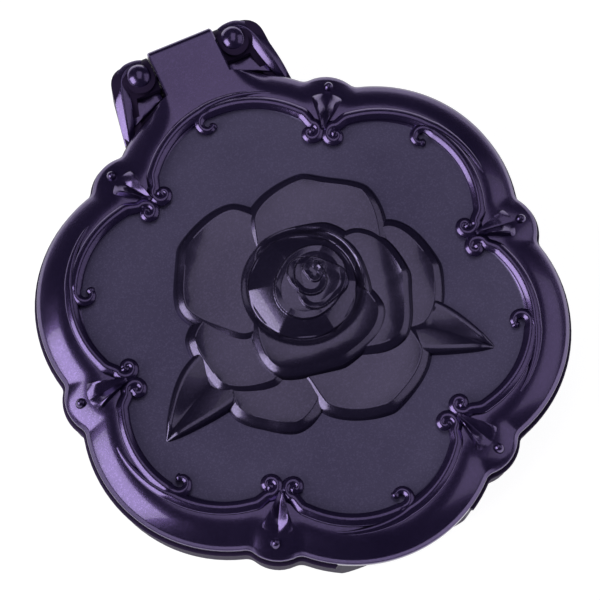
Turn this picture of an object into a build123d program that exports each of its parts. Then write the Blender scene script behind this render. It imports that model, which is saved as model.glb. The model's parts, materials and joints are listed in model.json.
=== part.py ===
from build123d import *
import math
import os

# A pressed-powder compact with a six-lobed case, closed. Sizes are in millimetres.
# The origin is the centre of the lobed body on the plane that it rests on. +Z is up, +Y points
# to the hinge, and the thumb notch is at -Y. The lid opens about a pin along X.

# ---------------------------------------------------------------- driving dimensions
LOBES = 6
LOBE_ANGLE = 360 / LOBES
BODY_REACH = 38.5        # centre to the tip of a lobe, on the base flange
LOBE_RADIUS = 20.8
BUMP_REACH = 36.7        # centre to the tip of the small bump between two lobes
BUMP_RADIUS = 6.0
CORNER_ROUND = 1.4       # where a bump meets a lobe, in plan
BASE_HEIGHT = 9.0        # the parting plane
PARTING_GAP = 0.15
LID_INSET = 0.4          # the lid is this much smaller all round than the base flange

SHELL_WALL = 1.6
FLOOR = 1.6
FLANGE_HEIGHT = 1.1
FLANGE_OVERHANG = 0.7
BASE_BOTTOM_ROUND = 3.4
FOOT_RECESS = 0.4
FOOT_RECESS_RADIUS = 24.0
LABEL_RADIUS = 16.0
LABEL_THICKNESS = 0.15

LID_HEIGHT = 4.2         # the top of the rim above the parting plane
LID_EDGE_ROUND = 3.0
PANEL_HEIGHT = 3.4       # the recessed field inside the scroll frame
PANEL_THICKNESS = 1.2
SCROLL_RADIUS = 15.1     # the crest of the scroll frame, about each lobe's centre
SCROLL_WIDTH = 1.7
SCROLL_HEIGHT = 5.0
VOLUTE_REACH = 26.4
VOLUTE_SPREAD = 1.75
VOLUTE_RADIUS = 1.35

ROSE_X = 1.7
ROSE_Y = 2.8
PETAL_DEPTH = 2.7
PETAL_DRAFT = 10
PETAL_TILT = 4.5
PETAL_FIRST_RISE = 0.35
PETAL_STEP = 0.16        # each petal lies a little higher than the one before it
PETALS = [               # centre x, centre y, length, width, direction, from the lowest petal up
    (13.5, -1.5, 15, 19, -5),
    (-7.5, -8.2, 16, 15, 235),
    (4.0, -9.2, 20, 20, 278),
    (-6.8, 8.6, 20, 21, 140),
    (6.6, 9.8, 18, 21, 62),
    (-9.2, -0.6, 18, 16, 190),
    (8.7, -1.5, 14, 19, -15),
    (1.0, -3.0, 14, 20, 262),
]
BUD_RADIUS = 6.6
BUD_RISE = 2.7
BUD_CROWN = 1.1
LEAF_ROOT = 8.0
LEAF_HALF_WIDTH = 5.2
LEAF_RISE = 0.5

NOTCH_HALF_WIDTH = 11.0
NOTCH_BACK = -35.3
CAVITY_FRONT = -33.8

HINGE_Y = 42.4
HINGE_Z = BASE_HEIGHT - 0.6
KNUCKLE_RADIUS = 3.0
HEEL = 2.88              # the square heel of the tongue: its corner stops the lid, fully open
TONGUE_HALF_WIDTH = 5.05
TONGUE_RISE = 0.7
EAR_GAP = 0.15
EAR_TIP_HALF_WIDTH = 11.4
EAR_ROOT_HALF_WIDTH = 13.2
EAR_ROOT_Y = 33.0
EAR_BOTTOM = 3.4
EAR_TIP_ROUND = 4.2
EAR_RISE_Y = 36.6
EAR_BAND = 2.4           # the width of the raised band along the ear's outer edge
EAR_WEB_END = 39.6
EAR_WEB_HEIGHT = 8.3
EAR_VOLUTE = (7.4, 41.7)
EAR_VOLUTE_RADIUS = 2.1
PIN_RADIUS = 0.8
PIN_HALF_LENGTH = 10.6
PIN_END_WALL = 1.0
EAR_BORE_CLEARANCE = 0.01
TONGUE_BORE_CLEARANCE = 0.05

PAN_RADIUS = 29.5
PAN_WALL = 0.4
PAN_HEIGHT = 3.0
POWDER_RADIUS = PAN_RADIUS - PAN_WALL
POWDER_THICKNESS = 2.3
POWDER_ROUND = 0.5
WELL_CLEARANCE = 0.3
WELL_WALL = 1.2
WELL_FLOOR = 0.8
TRAY_CLEARANCE = 0.15
DECK_DROP = 0.4
DECK_THICKNESS = 1.2
DECK_ROUND = 0.35
ADHESIVE_THICKNESS = 0.3
PAN_ADHESIVE_RADIUS = 22.0
GUARD_THICKNESS = 0.2

MIRROR_RADIUS = 29.0
MIRROR_THICKNESS = 0.8
MIRROR_SEAT_CLEARANCE = 0.2
MIRROR_ADHESIVE_RADIUS = 27.5
FRAME_BACKING = 0.3
FRAME_CLEARANCE = 0.1
FRAME_EDGE_ROUND = 0.35

PUFF_RADIUS = 27.2
PUFF_ROUND = 0.25
VELOUR_THICKNESS = 0.7
SATIN_THICKNESS = 0.3
PUFF_TOP = BASE_HEIGHT + 0.2
BINDING_WIDTH = 0.6
BINDING_HEIGHT = 0.9
RIBBON_WIDTH = 10.0
RIBBON_THICKNESS = 0.2

HOOK_HALF_WIDTH = 4.0
HOOK_FRONT = -33.0
HOOK_THICKNESS = 1.0
BARB_DEPTH = 0.5
BARB_HEIGHT = 0.7
SLOT_CLEARANCE = 0.4
CATCH_EDGE = -31.4       # the deck's edge, which the sprung barb catches under

# ---------------------------------------------------------------- derived heights
LID_BOTTOM = BASE_HEIGHT + PARTING_GAP
LID_CEILING = BASE_HEIGHT + PANEL_HEIGHT - PANEL_THICKNESS
PANEL_TOP = BASE_HEIGHT + PANEL_HEIGHT
DECK_TOP = BASE_HEIGHT - DECK_DROP
DECK_UNDERSIDE = DECK_TOP - DECK_THICKNESS
WELL_RADIUS = PAN_RADIUS + WELL_CLEARANCE
PAN_SEAT = FLOOR + WELL_FLOOR
PAN_BOTTOM = PAN_SEAT + ADHESIVE_THICKNESS
PAN_TOP = PAN_BOTTOM + PAN_HEIGHT
GUARD_TOP = PAN_TOP + GUARD_THICKNESS
LOBE_CENTRE = BODY_REACH - LOBE_RADIUS


def turned(angle, reach=0.0, along=0.0):
    """A place at that angle about Z, reach out from the centre and along to one side; 0 is +Y."""
    return Rot(0, 0, angle) * Pos(-along, reach)


def mirrored(point):
    return Vector(-point.X, point.Y)


def ring_of_arcs(sector):
    """A closed face from one sector's arcs, each by its start, a point on it and its end, repeated."""
    with BuildSketch() as sketch:
        with BuildLine():
            for k in range(LOBES):
                for arc in sector:
                    ThreePointArc(*[point.rotate(Axis.Z, k * LOBE_ANGLE) for point in arc])
        make_face()
    return sketch.sketch


def lobed_outline(inset=0.0):
    """The case's plan: six lobes with a small bump between each pair, drawn in by inset.

    A concave corner joins each bump to its lobe. All the arcs keep their centres as the outline
    is drawn in, so that two outlines are always parallel.
    """
    lobe = Vector(0, LOBE_CENTRE)
    bump = Vector(0, BUMP_REACH - BUMP_RADIUS).rotate(Axis.Z, LOBE_ANGLE / 2)
    span = bump - lobe
    to_lobe = LOBE_RADIUS + CORNER_ROUND
    to_bump = BUMP_RADIUS + CORNER_ROUND
    cosine = (to_lobe**2 + span.length**2 - to_bump**2) / (2 * to_lobe * span.length)
    corner = lobe + span.normalized().rotate(Axis.Z, -math.degrees(math.acos(cosine))) * to_lobe
    lobe_way = (corner - lobe).normalized()
    bump_way = (corner - bump).normalized()
    lobe_end = lobe + lobe_way * (LOBE_RADIUS - inset)
    bump_end = bump + bump_way * (BUMP_RADIUS - inset)
    hollow = corner - (lobe_way + bump_way).normalized() * (CORNER_ROUND + inset)
    tip = Vector(0, BODY_REACH - inset)
    bump_tip = Vector(0, BUMP_REACH - inset).rotate(Axis.Z, LOBE_ANGLE / 2)
    far_bump_end = mirrored(bump_end).rotate(Axis.Z, LOBE_ANGLE)
    far_hollow = mirrored(hollow).rotate(Axis.Z, LOBE_ANGLE)
    far_lobe_end = mirrored(lobe_end).rotate(Axis.Z, LOBE_ANGLE)
    return ring_of_arcs([
        (mirrored(lobe_end), tip, lobe_end),
        (lobe_end, hollow, bump_end),
        (bump_end, bump_tip, far_bump_end),
        (far_bump_end, far_hollow, far_lobe_end),
    ])


def scroll_outline(radius):
    """Six plain lobes, concentric with the case's: the edge of the lid's recessed field."""
    half = math.radians(LOBE_ANGLE / 2)
    reach = LOBE_CENTRE * math.cos(half) + math.sqrt(radius**2 - (LOBE_CENTRE * math.sin(half)) ** 2)
    cusp = Vector(0, reach).rotate(Axis.Z, LOBE_ANGLE / 2)
    return ring_of_arcs([(mirrored(cusp), Vector(0, LOBE_CENTRE + radius), cusp)])


def slab(face, bottom, top):
    return Pos(0, 0, bottom) * extrude(face, amount=top - bottom)


def disc(radius, bottom, top):
    return slab(Circle(radius), bottom, top)


def block(x0, x1, y0, y1, z0, z1):
    return Pos((x0 + x1) / 2, (y0 + y1) / 2, (z0 + z1) / 2) * Box(x1 - x0, y1 - y0, z1 - z0)


def top_edges(part):
    return part.edges().group_by(Axis.Z)[-1]


def bottom_edges(part):
    return part.edges().group_by(Axis.Z)[0]


def round_edges(edges, radius):
    return [edge for edge in edges.filter_by(GeomType.CIRCLE) if abs(edge.radius - radius) < 0.01]


def hinge_rod(radius, x0, x1):
    """A cylinder on the hinge axis, from x0 to x1."""
    return Pos((x0 + x1) / 2, HINGE_Y, HINGE_Z) * Rot(0, 90, 0) * Cylinder(radius, x1 - x0)


# ---------------------------------------------------------------- the base
def ear_plan():
    """The ear from above: it narrows from the body to a tip with a round outer corner."""
    inner = TONGUE_HALF_WIDTH + EAR_GAP
    tip = HINGE_Y + KNUCKLE_RADIUS
    corners = [
        (inner, EAR_ROOT_Y),
        (EAR_ROOT_HALF_WIDTH, EAR_ROOT_Y),
        (EAR_TIP_HALF_WIDTH, tip),
        (inner, tip),
    ]
    plan = make_face(Polyline(*corners, close=True))
    outer_corner = plan.vertices().sort_by(Axis.Y)[-2:].sort_by(Axis.X)[-1]
    return fillet(outer_corner, EAR_TIP_ROUND)


def ear_side_view():
    """The ear from the side: a bracket that rises from the body to the round knuckle."""
    low = HINGE_Z - KNUCKLE_RADIUS
    high = HINGE_Z + KNUCKLE_RADIUS
    with BuildSketch(Plane.YZ) as sketch:
        with BuildLine():
            Polyline(
                (HINGE_Y, low),
                (EAR_ROOT_Y, EAR_BOTTOM),
                (EAR_ROOT_Y, BASE_HEIGHT),
                (EAR_RISE_Y, BASE_HEIGHT),
                (HINGE_Y - 0.5, high - 0.05),
                (HINGE_Y, high - 0.05),
                close=True,
            )
        make_face()
        with Locations((HINGE_Y, HINGE_Z)):
            Circle(KNUCKLE_RADIUS)
    return sketch.sketch


def hinge_ear(side):
    """One of the two ears that hold the pin: a scroll band outside, a volute and a sunk web inside."""
    ear = slab(ear_plan(), EAR_BOTTOM, BASE_HEIGHT + KNUCKLE_RADIUS)
    ear = ear & extrude(ear_side_view(), amount=EAR_ROOT_HALF_WIDTH + 1)
    inner = TONGUE_HALF_WIDTH - 1
    outer = EAR_TIP_HALF_WIDTH - EAR_BAND
    slope = EAR_ROOT_HALF_WIDTH - EAR_TIP_HALF_WIDTH
    web = Polyline(
        (inner, EAR_ROOT_Y - 1),
        (outer + slope, EAR_ROOT_Y - 1),
        (outer, EAR_WEB_END),
        (inner, EAR_WEB_END),
        close=True,
    )
    ear -= slab(make_face(web), EAR_WEB_HEIGHT, BASE_HEIGHT + KNUCKLE_RADIUS)
    ear += Pos(*EAR_VOLUTE) * disc(EAR_VOLUTE_RADIUS, EAR_WEB_HEIGHT, HINGE_Z + KNUCKLE_RADIUS)
    return ear if side > 0 else mirror(ear, about=Plane.YZ)


def base_shell():
    """The lower case: floor, wall, flange, thumb notch and hinge ears, in one moulding."""
    body = slab(lobed_outline(FLANGE_OVERHANG), 0, BASE_HEIGHT)
    body = fillet(bottom_edges(body), BASE_BOTTOM_ROUND)
    flange = slab(lobed_outline(), BASE_HEIGHT - FLANGE_HEIGHT, BASE_HEIGHT)
    flange = fillet(top_edges(flange) + bottom_edges(flange), FLANGE_HEIGHT * 0.35)
    shell = body + flange + hinge_ear(1) + hinge_ear(-1)
    cavity = slab(lobed_outline(FLANGE_OVERHANG + SHELL_WALL), FLOOR, BASE_HEIGHT + 5)
    front = block(-BODY_REACH, BODY_REACH, -BODY_REACH, CAVITY_FRONT, 0, 2 * BASE_HEIGHT)
    shell -= cavity - front
    notch = block(-NOTCH_HALF_WIDTH, NOTCH_HALF_WIDTH, -BODY_REACH - 1, NOTCH_BACK, -1, BASE_HEIGHT + 1)
    shell -= fillet(notch.edges().filter_by(Axis.Z).group_by(Axis.Y)[-1], 1.2)
    shell -= disc(FOOT_RECESS_RADIUS, -1, FOOT_RECESS)
    bore = PIN_RADIUS + EAR_BORE_CLEARANCE
    return shell - hinge_rod(bore, PIN_END_WALL - EAR_TIP_HALF_WIDTH, EAR_TIP_HALF_WIDTH + 1)


def base_label():
    return disc(LABEL_RADIUS, FOOT_RECESS - LABEL_THICKNESS, FOOT_RECESS)


def hinge_pin():
    pin = hinge_rod(PIN_RADIUS, PIN_END_WALL - EAR_TIP_HALF_WIDTH, PIN_HALF_LENGTH)
    return chamfer(pin.edges().filter_by(GeomType.CIRCLE), 0.15)


def inner_tray():
    """The insert that fills the base: a deck with the round pan well, and the slot for the catch."""
    deck = slab(lobed_outline(FLANGE_OVERHANG + SHELL_WALL + TRAY_CLEARANCE), DECK_UNDERSIDE, DECK_TOP)
    front = CAVITY_FRONT + TRAY_CLEARANCE
    deck -= block(-BODY_REACH, BODY_REACH, -BODY_REACH, front, 0, 2 * BASE_HEIGHT)
    tray = deck + disc(WELL_RADIUS + WELL_WALL, FLOOR, DECK_UNDERSIDE)
    tray -= disc(WELL_RADIUS, PAN_SEAT, DECK_TOP + 1)
    tray = fillet(round_edges(top_edges(tray), WELL_RADIUS), DECK_ROUND)
    half = HOOK_HALF_WIDTH + SLOT_CLEARANCE
    return tray - block(-half, half, -BODY_REACH, CATCH_EDGE, DECK_UNDERSIDE - 1, DECK_TOP + 1)


def pan_adhesive():
    return disc(PAN_ADHESIVE_RADIUS, PAN_SEAT, PAN_BOTTOM)


def powder_pan():
    pan = disc(PAN_RADIUS, PAN_BOTTOM, PAN_TOP)
    pan = fillet(bottom_edges(pan), PAN_WALL)
    return pan - disc(PAN_RADIUS - PAN_WALL, PAN_BOTTOM + PAN_WALL, PAN_TOP + 1)


def powder_cake():
    floor = PAN_BOTTOM + PAN_WALL
    cake = disc(POWDER_RADIUS, floor, floor + POWDER_THICKNESS)
    return fillet(top_edges(cake), POWDER_ROUND)


def powder_guard():
    """The loose clear disc that keeps the puff off the powder."""
    return disc(PAN_RADIUS - 0.1, PAN_TOP, GUARD_TOP)


# ---------------------------------------------------------------- the puff
def puff_velour_face():
    return disc(PUFF_RADIUS, GUARD_TOP, GUARD_TOP + VELOUR_THICKNESS)


def puff_foam_core():
    return disc(PUFF_RADIUS, GUARD_TOP + VELOUR_THICKNESS, PUFF_TOP - SATIN_THICKNESS)


def puff_satin_top():
    top = disc(PUFF_RADIUS, PUFF_TOP - SATIN_THICKNESS, PUFF_TOP)
    return fillet(top_edges(top), PUFF_ROUND)


def puff_edge_binding():
    middle = (GUARD_TOP + PUFF_TOP) / 2
    low, high = middle - BINDING_HEIGHT / 2, middle + BINDING_HEIGHT / 2
    return disc(PUFF_RADIUS + BINDING_WIDTH, low, high) - disc(PUFF_RADIUS, low - 1, high + 1)


def puff_ribbon():
    half = PUFF_RADIUS - 1.0
    return block(-half, half, -RIBBON_WIDTH / 2, RIBBON_WIDTH / 2, PUFF_TOP, PUFF_TOP + RIBBON_THICKNESS)


# ---------------------------------------------------------------- the lid
def petal(x, y, length, width, angle, rise):
    """A petal in low relief: a drafted oval whose outer edge stands higher than its root."""
    oval = extrude(Ellipse(length / 2, width / 2), amount=PETAL_DEPTH, taper=PETAL_DRAFT)
    place = Pos(x, y, PANEL_TOP + rise) * Rot(0, 0, angle) * Rot(0, -PETAL_TILT, 0)
    return place * Pos(0, 0, -PETAL_DEPTH) * oval


def leaf(tip_reach, angle):
    """A pointed leaf that comes out from under the petals: two arcs that meet at its tip."""
    root = Vector(LEAF_ROOT, 0)
    tip = Vector(tip_reach, 0)
    middle = (root + tip) / 2
    with BuildSketch() as sketch:
        with BuildLine():
            ThreePointArc(root, middle - Vector(0, LEAF_HALF_WIDTH), tip)
            ThreePointArc(tip, middle + Vector(0, LEAF_HALF_WIDTH), root)
        make_face()
    blade = extrude(sketch.sketch, amount=PETAL_DEPTH, taper=PETAL_DRAFT)
    place = Pos(ROSE_X, ROSE_Y, PANEL_TOP + LEAF_RISE) * Rot(0, 0, angle) * Rot(0, PETAL_TILT / 3, 0)
    return place * Pos(0, 0, -PETAL_DEPTH) * blade


def bud():
    """The closed middle of the rose: a low round dome."""
    sphere_radius = (BUD_RADIUS**2 + BUD_CROWN**2) / (2 * BUD_CROWN)
    top = PANEL_TOP + BUD_RISE
    column = disc(BUD_RADIUS, PANEL_TOP - 1, top)
    ball = Pos(0, 0, top - sphere_radius) * Sphere(sphere_radius)
    return Pos(ROSE_X, ROSE_Y) * (column & ball)


def rose_relief():
    """The moulded rose: two leaves, six outer petals, two that wrap the bud, and the bud."""
    rose = leaf(29.5, 206) + leaf(28.5, -43)
    for rise, (x, y, length, width, angle) in enumerate(PETALS):
        rose += petal(x, y, length, width, angle, PETAL_FIRST_RISE + rise * PETAL_STEP)
    return rose + bud()


def lid_cover():
    """The decorated outer lid: rim, scroll frame, rose relief and the hinge tongue, in one moulding."""
    cover = slab(lobed_outline(LID_INSET), LID_BOTTOM, BASE_HEIGHT + LID_HEIGHT)
    cover = fillet(top_edges(cover), LID_EDGE_ROUND)
    half = SCROLL_WIDTH / 2
    top = BASE_HEIGHT + SCROLL_HEIGHT
    crest = slab(scroll_outline(SCROLL_RADIUS + half), PANEL_TOP, top)
    for k in range(LOBES):
        for side in (-1, 1):
            place = turned((k + 0.5) * LOBE_ANGLE, VOLUTE_REACH, side * VOLUTE_SPREAD)
            crest += Pos(0, 0, PANEL_TOP) * place * extrude(Circle(VOLUTE_RADIUS), amount=top - PANEL_TOP)
    cover += crest
    field = slab(scroll_outline(SCROLL_RADIUS - half), PANEL_TOP, top + 1)
    for k in range(LOBES):
        for side in (-1, 1):
            place = turned((k + 0.5) * LOBE_ANGLE, VOLUTE_REACH, side * VOLUTE_SPREAD)
            field -= Pos(0, 0, PANEL_TOP - 1) * place * extrude(Circle(VOLUTE_RADIUS), amount=4)
    cover -= field
    cover += rose_relief()
    cover -= slab(lobed_outline(LID_INSET + SHELL_WALL), BASE_HEIGHT - 1, LID_CEILING)
    return cover + hinge_tongue()


def hinge_tongue():
    """The strap between the ears: its top falls from the rim, and it is square behind the pin."""
    back = HINGE_Y + HEEL
    root = BODY_REACH - LID_INSET - SHELL_WALL
    top = HINGE_Z + KNUCKLE_RADIUS
    with BuildSketch(Plane.YZ.offset(-TONGUE_HALF_WIDTH)) as side_view:
        with BuildLine():
            Polyline(
                (root, LID_BOTTOM),
                (root, top + TONGUE_RISE),
                (HINGE_Y - HEEL, top),
                (back, top - 0.1),
                (back, HINGE_Z - HEEL),
                (HINGE_Y, HINGE_Z - HEEL),
                (HINGE_Y, LID_BOTTOM),
                close=True,
            )
        make_face()
    tongue = extrude(side_view.sketch, amount=2 * TONGUE_HALF_WIDTH)
    tongue = fillet(tongue.edges().filter_by(Axis.X).group_by(Axis.Y)[-1].sort_by(Axis.Z)[-1], 1.0)
    tongue += hinge_rod(HEEL, -TONGUE_HALF_WIDTH, TONGUE_HALF_WIDTH)
    bore = PIN_RADIUS + TONGUE_BORE_CLEARANCE
    return tongue - hinge_rod(bore, -TONGUE_HALF_WIDTH - 1, TONGUE_HALF_WIDTH + 1)


def lid_inner_frame():
    """The lining of the lid: it seats the mirror and carries the snap hook."""
    inset = LID_INSET + SHELL_WALL + FRAME_CLEARANCE
    frame = slab(lobed_outline(inset), LID_BOTTOM, LID_CEILING)
    seat = MIRROR_RADIUS + MIRROR_SEAT_CLEARANCE
    frame -= disc(seat, LID_BOTTOM - 1, LID_CEILING - FRAME_BACKING)
    frame = fillet(round_edges(bottom_edges(frame), seat), FRAME_EDGE_ROUND)
    barb_top = DECK_UNDERSIDE - 0.1
    hook_bottom = barb_top - BARB_HEIGHT
    back = HOOK_FRONT + HOOK_THICKNESS
    with BuildPart() as hook:
        with BuildSketch(Plane.YZ.offset(-HOOK_HALF_WIDTH)):
            with BuildLine():
                Polyline(
                    (HOOK_FRONT, LID_BOTTOM + 0.5),
                    (HOOK_FRONT, hook_bottom),
                    (back, hook_bottom),
                    (back + BARB_DEPTH, hook_bottom + BARB_HEIGHT * 0.7),
                    (back + BARB_DEPTH, barb_top),
                    (back, barb_top),
                    (back, LID_BOTTOM + 0.5),
                    close=True,
                )
            make_face()
        extrude(amount=2 * HOOK_HALF_WIDTH)
    return frame + hook.part


def mirror_adhesive():
    top = LID_CEILING - FRAME_BACKING
    return disc(MIRROR_ADHESIVE_RADIUS, top - ADHESIVE_THICKNESS, top)


def mirror_glass():
    top = LID_CEILING - FRAME_BACKING - ADHESIVE_THICKNESS
    glass = disc(MIRROR_RADIUS, top - MIRROR_THICKNESS, top)
    return chamfer(bottom_edges(glass), 0.15)


NODES = {
    "base_shell": base_shell,
    "base_label": base_label,
    "hinge_pin": hinge_pin,
    "inner_tray": inner_tray,
    "pan_adhesive": pan_adhesive,
    "powder_pan": powder_pan,
    "powder_cake": powder_cake,
    "powder_guard": powder_guard,
    "puff_velour_face": puff_velour_face,
    "puff_foam_core": puff_foam_core,
    "puff_satin_top": puff_satin_top,
    "puff_edge_binding": puff_edge_binding,
    "puff_ribbon": puff_ribbon,
    "lid_cover": lid_cover,
    "lid_inner_frame": lid_inner_frame,
    "mirror_adhesive": mirror_adhesive,
    "mirror_glass": mirror_glass,
}

os.makedirs("parts", exist_ok=True)
for name, make in NODES.items():
    part = make()
    print(name, "solids", len(part.solids()), "volume", round(part.volume, 2))
    export_step(part, f"parts/{name}.step")
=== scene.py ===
# %% [markdown]
# # A powder compact in scroll and rose relief
# This lesson dresses a finished CAD model of a pressed-powder compact. The CAD model is the
# frame: it says where every piece is and how the lid turns. Blender adds the rounded mouldings,
# the soft puff and the finishes. Lengths are worked out in millimetres and scaled at the end.

# %% Load the CAD model as the frame
import json
import math

import bmesh
import bpy
import numpy as np
from mathutils import Matrix, Vector


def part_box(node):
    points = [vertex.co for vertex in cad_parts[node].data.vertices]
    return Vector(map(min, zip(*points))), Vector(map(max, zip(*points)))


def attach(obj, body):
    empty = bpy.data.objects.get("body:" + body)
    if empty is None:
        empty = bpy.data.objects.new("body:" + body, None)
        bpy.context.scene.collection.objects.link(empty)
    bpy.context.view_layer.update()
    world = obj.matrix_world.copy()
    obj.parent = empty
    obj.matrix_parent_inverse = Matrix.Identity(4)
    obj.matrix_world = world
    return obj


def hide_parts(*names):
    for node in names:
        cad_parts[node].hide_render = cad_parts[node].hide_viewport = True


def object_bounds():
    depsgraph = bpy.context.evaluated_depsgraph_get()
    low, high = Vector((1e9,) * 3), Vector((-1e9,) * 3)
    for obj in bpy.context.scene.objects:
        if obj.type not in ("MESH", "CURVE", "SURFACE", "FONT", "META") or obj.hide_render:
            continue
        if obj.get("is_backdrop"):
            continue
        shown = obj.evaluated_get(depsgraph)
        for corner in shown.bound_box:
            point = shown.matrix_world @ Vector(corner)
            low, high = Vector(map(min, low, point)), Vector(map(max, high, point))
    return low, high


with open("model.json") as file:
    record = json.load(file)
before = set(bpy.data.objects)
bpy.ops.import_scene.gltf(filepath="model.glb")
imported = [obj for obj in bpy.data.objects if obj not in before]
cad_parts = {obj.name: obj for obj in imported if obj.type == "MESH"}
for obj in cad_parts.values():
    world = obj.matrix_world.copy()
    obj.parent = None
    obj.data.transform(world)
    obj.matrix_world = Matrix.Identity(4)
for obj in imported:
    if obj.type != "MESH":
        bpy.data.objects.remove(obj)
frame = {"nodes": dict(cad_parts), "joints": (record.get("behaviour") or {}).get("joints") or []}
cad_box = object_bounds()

MM = 0.001
nodes = frame["nodes"]

# %% [markdown]
# ## Places that the CAD model gives
# What has to line up with the CAD model is measured from the frame: the hinge axis, the inside of
# the lid and the reach of the lobes here, and the seats of the powder and the puff further down.

# %% Read the main heights and reaches
lid_low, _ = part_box("lid_cover")
_, frame_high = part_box("lid_inner_frame")
hinge = Vector(frame["joints"][0]["pos_m"]) / MM

PARTING = 9.15                       # the lower edge of the lid
CEILING = frame_high.z / MM          # the inside of the lid
FIELD = 12.4                         # the flat field that the rose stands on
SUNK = FIELD - 0.3                   # how deep the relief is rooted in it
LOBE_REACH = -lid_low.y / MM         # from the centre to the tip of a lobe
print("lid reach", round(LOBE_REACH, 2), "ceiling", round(CEILING, 2), "hinge", tuple(hinge))

# %% [markdown]
# ## Helpers for node trees
# Materials and Geometry Nodes are both trees of nodes. `Tree.node` adds any node in one call, and
# a `Wire` is one output of a node. Adding or multiplying wires adds the Math nodes, so that a
# formula in a finish reads as it would on paper.


# %% A wire that does arithmetic
class Wire:
    """One output of a node. Arithmetic on it adds Math nodes to its tree."""

    def __init__(self, tree, socket):
        self.tree = tree
        self.socket = socket

    def math(self, operation, *values):
        return self.tree.node("ShaderNodeMath", dict(enumerate(values)), operation=operation)

    def __add__(self, other):
        return self.math("ADD", self, other)

    def __sub__(self, other):
        return self.math("SUBTRACT", self, other)

    def __rsub__(self, other):
        return self.math("SUBTRACT", other, self)

    def __mul__(self, other):
        return self.math("MULTIPLY", self, other)

    def __truediv__(self, other):
        return self.math("DIVIDE", self, other)

    def __gt__(self, other):
        return self.math("GREATER_THAN", self, other)

    __radd__ = __add__
    __rmul__ = __mul__

    def sine(self):
        return self.math("SINE", self)

    def smooth(self, low, high):
        """0 below low and 1 above high, with a soft step between them."""
        values = {"Value": self, "From Min": low, "From Max": high}
        return self.tree.node("ShaderNodeMapRange", values, interpolation_type="SMOOTHSTEP")


# %% A tree that adds nodes
class Tree:
    """A node tree of a material or a Geometry Nodes group."""

    def __init__(self, tree):
        self.tree = tree

    def node(self, kind, values=None, output=0, **settings):
        """Add a node: its settings first, then its inputs. Gives back one output as a Wire."""
        made = self.tree.nodes.new(kind)
        for name, setting in settings.items():
            setattr(made, name, setting)
        for name, value in (values or {}).items():
            socket = made.inputs[name]
            if isinstance(value, Wire):
                self.tree.links.new(value.socket, socket)
            else:
                socket.default_value = value
        return Wire(self, made.outputs[output]) if len(made.outputs) else made

    def ramp(self, factor, *stops):
        """A colour ramp through (position, colour) stops."""
        made = self.tree.nodes.new("ShaderNodeValToRGB")
        for element, (position, colour) in zip(made.color_ramp.elements, stops):
            element.position = position
            element.color = (*colour, 1)
        self.tree.links.new(factor.socket, made.inputs[0])
        return Wire(self, made.outputs[0])

    def blend(self, factor, first, second):
        """Mix two colours, each a tuple or a Wire."""
        pair = [c if isinstance(c, Wire) else (*c, 1) for c in (first, second)]
        return self.node("ShaderNodeMix", {0: factor, 6: pair[0], 7: pair[1]}, 2, data_type="RGBA")


# %% A finish
class Finish(Tree):
    """A material whose patterns follow the piece's Object coordinates."""

    def __init__(self, name):
        self.material = bpy.data.materials.new(name)
        self.material.use_nodes = True
        self.material.node_tree.nodes.clear()
        super().__init__(self.material.node_tree)
        self.place = self.node("ShaderNodeTexCoord", output="Object")

    def noise(self, scale, detail, roughness=0.5, place=None):
        values = {"Vector": place or self.place, "Scale": scale, "Detail": detail, "Roughness": roughness}
        return self.node("ShaderNodeTexNoise", values)

    def bump(self, height, distance, strength):
        values = {"Height": height, "Distance": distance, "Strength": strength}
        return self.node("ShaderNodeBump", values)

    def close(self, **inputs):
        """Feed a Principled shader, whose input names have _ for each space, to the output."""
        values = {label.replace("_", " "): value for label, value in inputs.items()}
        shader = self.node("ShaderNodeBsdfPrincipled", values)
        self.node("ShaderNodeOutputMaterial", {"Surface": shader})
        print("finish:", self.material.name, len(self.tree.nodes), "nodes")
        return self.material


# %% [markdown]
# ## The finishes
# The case is moulded plastic under a violet pearl lacquer. The lacquer has three layers: a dark
# coat of colour, fine mica flakes that glint, and a clear gloss on top. One function makes it,
# because the field and the rose wear the same lacquer over textures of their own, which break up
# the gloss. A finish's noise scales are in waves to the metre, and its bump heights in metres.


# %% Pearl lacquer
FLAKES = 5600                        # mica flakes in a metre


def pearl_lacquer(name, deep, pearl, gloss, grain, clear):
    """Lacquer that drifts between two colours. Grain is the height of the texture under it."""
    finish = Finish(name)
    drift = finish.blend(finish.noise(38, 3).smooth(0.3, 0.7), deep, pearl)
    flake = finish.node("ShaderNodeTexVoronoi", {"Vector": finish.place, "Scale": FLAKES}, "Color")
    glint = finish.node("ShaderNodeSeparateColor", {"Color": flake}, "Red")
    lit = [min(1, 1.9 * c) for c in pearl]
    height = finish.noise(3000, 3) * grain + glint * 0.10
    return finish.close(
        Base_Color=finish.blend(glint.smooth(0.55, 1.0) * 0.22, drift, lit), Metallic=0.92,
        Roughness=finish.noise(130, 5, 0.7).smooth(0.35, 0.75) * 0.06 + gloss,
        Normal=finish.bump(height, 0.00005, 0.35),
        Coat_Weight=clear, Coat_Roughness=0.05, Coat_IOR=1.5)


CASE = pearl_lacquer(
    "violet_pearl_gloss", (0.070, 0.048, 0.130), (0.106, 0.074, 0.182), gloss=0.205, grain=0.06, clear=0.4)
RELIEF = pearl_lacquer(
    "violet_pearl_relief", (0.070, 0.056, 0.112), (0.098, 0.081, 0.150), gloss=0.22, grain=0.20, clear=0.4)
GRAINED = pearl_lacquer(
    "violet_pearl_grained", (0.104, 0.088, 0.168), (0.128, 0.110, 0.200), gloss=0.46, grain=1.6, clear=0.05)
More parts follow.
